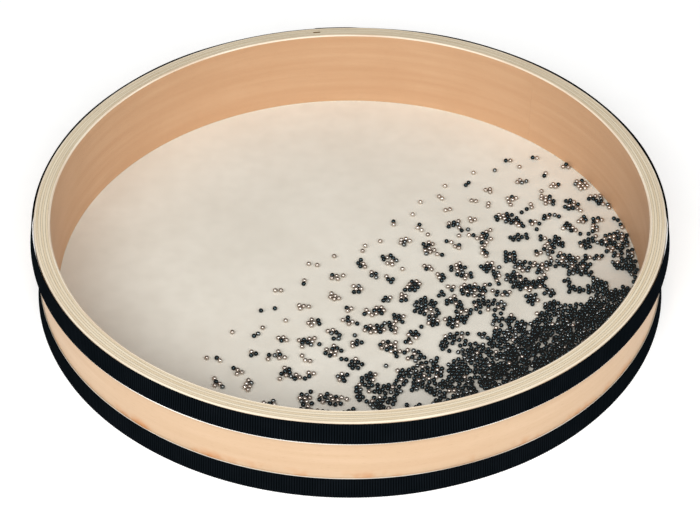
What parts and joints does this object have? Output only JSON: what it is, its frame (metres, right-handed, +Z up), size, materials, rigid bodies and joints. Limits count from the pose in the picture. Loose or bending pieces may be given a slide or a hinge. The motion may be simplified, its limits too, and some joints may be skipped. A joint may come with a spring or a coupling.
{
  "type": "ocean drum",
  "caption": "Closed frame drum: a bent plywood hoop, cream lower head, clear upper head, ribbed edge ribbons, and loose steel beads that roll between the heads like surf.",
  "frame": {"origin": "middle of the lower head's outer face, where the drum rests", "axes": "+Z up through the clear upper head; -Y towards the viewer of the picture, +X to that viewer's right"},
  "size_m": [0.4072, 0.4079, 0.058],
  "materials": {
    "outer_veneer": "satin lacquer",
    "core_veneer": "sanded edge",
    "inner_veneer": "satin lacquer",
    "clear_film": "clear polyester film",
    "cream_film": "cream polyester film",
    "glue": "contact glue",
    "ribbon": "ribbed grosgrain",
    "bright_steel": "polished shot",
    "dark_steel": "gunmetal shot"
  },
  "bodies": {
    "drum": {"outer_face_ply": "outer_veneer", "core_ply_1": "core_veneer", "core_ply_2": "core_veneer", "core_ply_3": "core_veneer", "core_ply_4": "core_veneer", "core_ply_5": "core_veneer", "inner_face_ply": "inner_veneer", "clear_head": "clear_film", "lower_head": "cream_film", "glue_band_upper": "glue", "glue_band_lower": "glue", "ribbon_upper": "ribbon", "ribbon_lower": "ribbon"},
    "beads_centre": {"steel_beads_centre_bright": "bright_steel", "steel_beads_centre_dark": "dark_steel"},
    "beads_inner": {"steel_beads_inner_bright": "bright_steel", "steel_beads_inner_dark": "dark_steel"},
    "beads_middle": {"steel_beads_middle_bright": "bright_steel", "steel_beads_middle_dark": "dark_steel"},
    "beads_outer": {"steel_beads_outer_bright": "bright_steel", "steel_beads_outer_dark": "dark_steel"}
  },
  "joints": [
    {"name": "bead_lift", "type": "slide", "parent": "drum", "child": "beads_centre", "axis": [0, 0, 1], "range_m": [0, 0.0516]},
    {"name": "inner_swirl", "type": "hinge", "parent": "beads_centre", "child": "beads_inner", "pos_m": [0, 0, 0], "axis": [0, 0, 1], "continuous": true},
    {"name": "middle_swirl", "type": "hinge", "parent": "beads_centre", "child": "beads_middle", "pos_m": [0, 0, 0], "axis": [0, 0, 1], "continuous": true},
    {"name": "outer_swirl", "type": "hinge", "parent": "beads_centre", "child": "beads_outer", "pos_m": [0, 0, 0], "axis": [0, 0, 1], "continuous": true}
  ]
}
